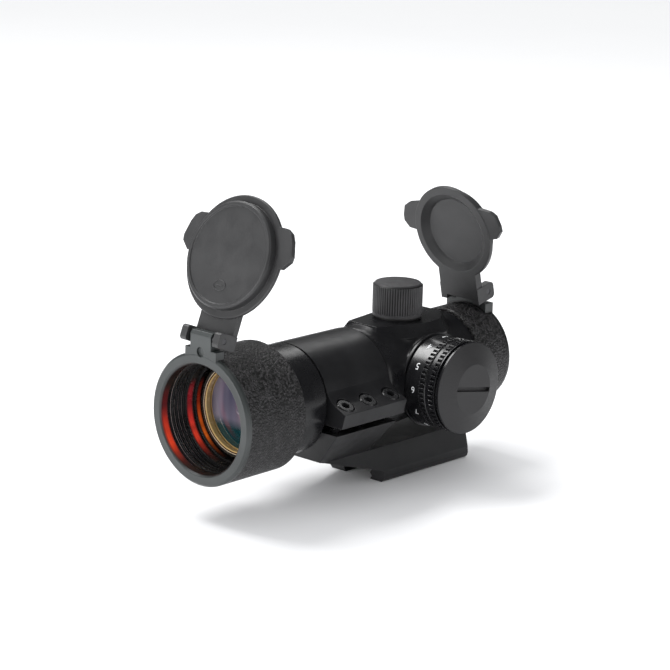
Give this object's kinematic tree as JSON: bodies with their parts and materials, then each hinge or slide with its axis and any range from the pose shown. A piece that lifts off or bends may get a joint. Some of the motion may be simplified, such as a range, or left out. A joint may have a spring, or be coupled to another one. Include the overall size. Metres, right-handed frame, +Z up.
{
  "type": "red dot finder",
  "caption": "Tube red dot finder with flip-up lens covers, brightness dial, capped adjusters and an 11 mm dovetail mount.",
  "frame": {"origin": "centre of the flat that rests on the rail, midway along the clamp", "axes": "+X forward along the sight line, +Y left towards the brightness dial, +Z up"},
  "size_m": [0.1248, 0.0603, 0.0954],
  "materials": {
    "hard_anodised": "satin",
    "bell_black": "gloss",
    "mount_black": "satin",
    "cap_black": "matte",
    "dial_black": "gloss",
    "battery_cap_black": "matte",
    "screw_black": "gloss",
    "lid_plastic": "matte",
    "ring_plastic": "satin",
    "sleeve_rubber": "grained",
    "pin_steel": "satin",
    "inner_black": "satin",
    "lens_glass": "coated",
    "adjuster_brass": "satin",
    "seal_rubber": "matte",
    "cell_steel": "satin",
    "board_green": "satin",
    "led_red": "gloss"
  },
  "bodies": {
    "root": {"main_tube": "hard_anodised", "objective_bell": "bell_black", "ring_cap": "mount_black", "mount_base": "mount_black", "ring_screws": "screw_black", "front_hinge_ring": "ring_plastic", "front_sleeve": "sleeve_rubber", "rear_hinge_ring": "ring_plastic", "rear_sleeve": "sleeve_rubber", "rear_window": "lens_glass", "rear_window_seal": "seal_rubber", "rear_window_ring": "inner_black", "elevation_retainer": "adjuster_brass", "windage_retainer": "adjuster_brass", "elevation_cap_seal": "seal_rubber", "windage_cap_seal": "seal_rubber", "dial_screw": "screw_black", "switch_board": "board_green", "detent_ball": "cell_steel", "detent_spring": "cell_steel", "front_hinge_pin": "pin_steel", "rear_hinge_pin": "pin_steel", "front_lid_spring": "pin_steel", "rear_lid_spring": "pin_steel", "return_spring": "cell_steel"},
    "pivot": {"pivot_collar": "inner_black"},
    "optics": {"inner_tube": "inner_black", "objective_front_element": "lens_glass", "objective_rear_element": "lens_glass", "objective_retainer": "inner_black", "emitter_block": "inner_black", "emitter_led": "led_red"},
    "front_lid_body": {"front_lid": "lid_plastic"},
    "rear_lid_body": {"rear_lid": "lid_plastic"},
    "dial": {"brightness_dial": "dial_black", "battery_contact": "cell_steel"},
    "cell_cap": {"battery_cap": "battery_cap_black", "battery_cap_seal": "seal_rubber"},
    "cell": {"battery": "cell_steel"},
    "elevation_cap_body": {"elevation_cap": "cap_black"},
    "windage_cap_body": {"windage_cap": "cap_black"},
    "elevation_drum": {"elevation_adjuster": "adjuster_brass"},
    "windage_drum": {"windage_adjuster": "adjuster_brass"},
    "elevation_pusher": {"elevation_plunger": "adjuster_brass"},
    "windage_pusher": {"windage_plunger": "adjuster_brass"},
    "jaw": {"clamp_jaw": "mount_black"},
    "screw_front": {"clamp_screw_front": "screw_black"},
    "screw_rear": {"clamp_screw_rear": "screw_black"}
  },
  "joints": [
    {"name": "front_lid_swing", "type": "hinge", "parent": "root", "child": "front_lid_body", "pos_m": [0.088, 0, 0.0524], "axis": [0, 1, 0], "range_deg": [0, 201.5], "stiffness_Nm_per_rad": 0.001, "springref_deg": -34.38},
    {"name": "rear_lid_swing", "type": "hinge", "parent": "root", "child": "rear_lid_body", "pos_m": [-0.0312, 0, 0.0487], "axis": [0, -1, 0], "range_deg": [0, 193.2], "stiffness_Nm_per_rad": 0.001, "springref_deg": -34.38},
    {"name": "dial_turn", "type": "hinge", "parent": "root", "child": "dial", "pos_m": [0.004, 0.02, 0.0277], "axis": [0, -1, 0], "range_deg": [-90, 240]},
    {"name": "battery_cap_lift", "type": "slide", "parent": "dial", "child": "cell_cap", "axis": [0, 1, 0], "range_m": [0, 0.02]},
    {"name": "battery_lift", "type": "slide", "parent": "dial", "child": "cell", "axis": [0, 1, 0], "range_m": [0, 0.012]},
    {"name": "elevation_cap_lift", "type": "slide", "parent": "root", "child": "elevation_cap_body", "axis": [0, 0, 1], "range_m": [0, 0.015]},
    {"name": "windage_cap_lift", "type": "slide", "parent": "root", "child": "windage_cap_body", "axis": [0, -1, 0], "range_m": [0, 0.015]},
    {"name": "elevation_turn", "type": "hinge", "parent": "root", "child": "elevation_drum", "pos_m": [0.004, 0, 0.045], "axis": [0, 0, 1], "range_deg": [-360, 360]},
    {"name": "windage_turn", "type": "hinge", "parent": "root", "child": "windage_drum", "pos_m": [0.004, -0.018, 0.0277], "axis": [0, -1, 0], "range_deg": [-360, 360]},
    {"name": "elevation_push", "type": "slide", "parent": "root", "child": "elevation_pusher", "axis": [0, 0, 1], "range_m": [-0.0005, 0.0005]},
    {"name": "windage_push", "type": "slide", "parent": "root", "child": "windage_pusher", "axis": [0, -1, 0], "range_m": [-0.0005, 0.0005]},
    {"name": "optics_yaw", "type": "hinge", "parent": "root", "child": "pivot", "pos_m": [0.05, 0, 0.0277], "axis": [0, 0, 1], "range_deg": [-0.63, 0.63]},
    {"name": "optics_pitch", "type": "hinge", "parent": "pivot", "child": "optics", "pos_m": [0.05, 0, 0.0277], "axis": [0, 1, 0], "range_deg": [-0.63, 0.63]},
    {"name": "jaw_open", "type": "slide", "parent": "root", "child": "jaw", "axis": [0, -1, 0], "range_m": [0, 0.0014]},
    {"name": "clamp_front_turn", "type": "hinge", "parent": "jaw", "child": "screw_front", "pos_m": [0.012, -0.012, 0.0033], "axis": [0, -1, 0], "range_deg": [0, 720]},
    {"name": "clamp_rear_turn", "type": "hinge", "parent": "jaw", "child": "screw_rear", "pos_m": [-0.012, -0.012, 0.0033], "axis": [0, -1, 0], "range_deg": [0, 720]}
  ],
  "couplings": [
    {"joint": "elevation_turn", "follows": "elevation_push", "rad_per_m": 12566},
    {"joint": "optics_pitch", "follows": "elevation_push", "rad_per_m": 21.739},
    {"joint": "windage_turn", "follows": "windage_push", "rad_per_m": 12566},
    {"joint": "optics_yaw", "follows": "windage_push", "rad_per_m": 21.739},
    {"joint": "clamp_front_turn", "follows": "jaw_open", "rad_per_m": 8976},
    {"joint": "clamp_rear_turn", "follows": "jaw_open", "rad_per_m": 8976},
    {"joint": "battery_lift", "follows": "battery_cap_lift", "ratio": 0.6}
  ]
}
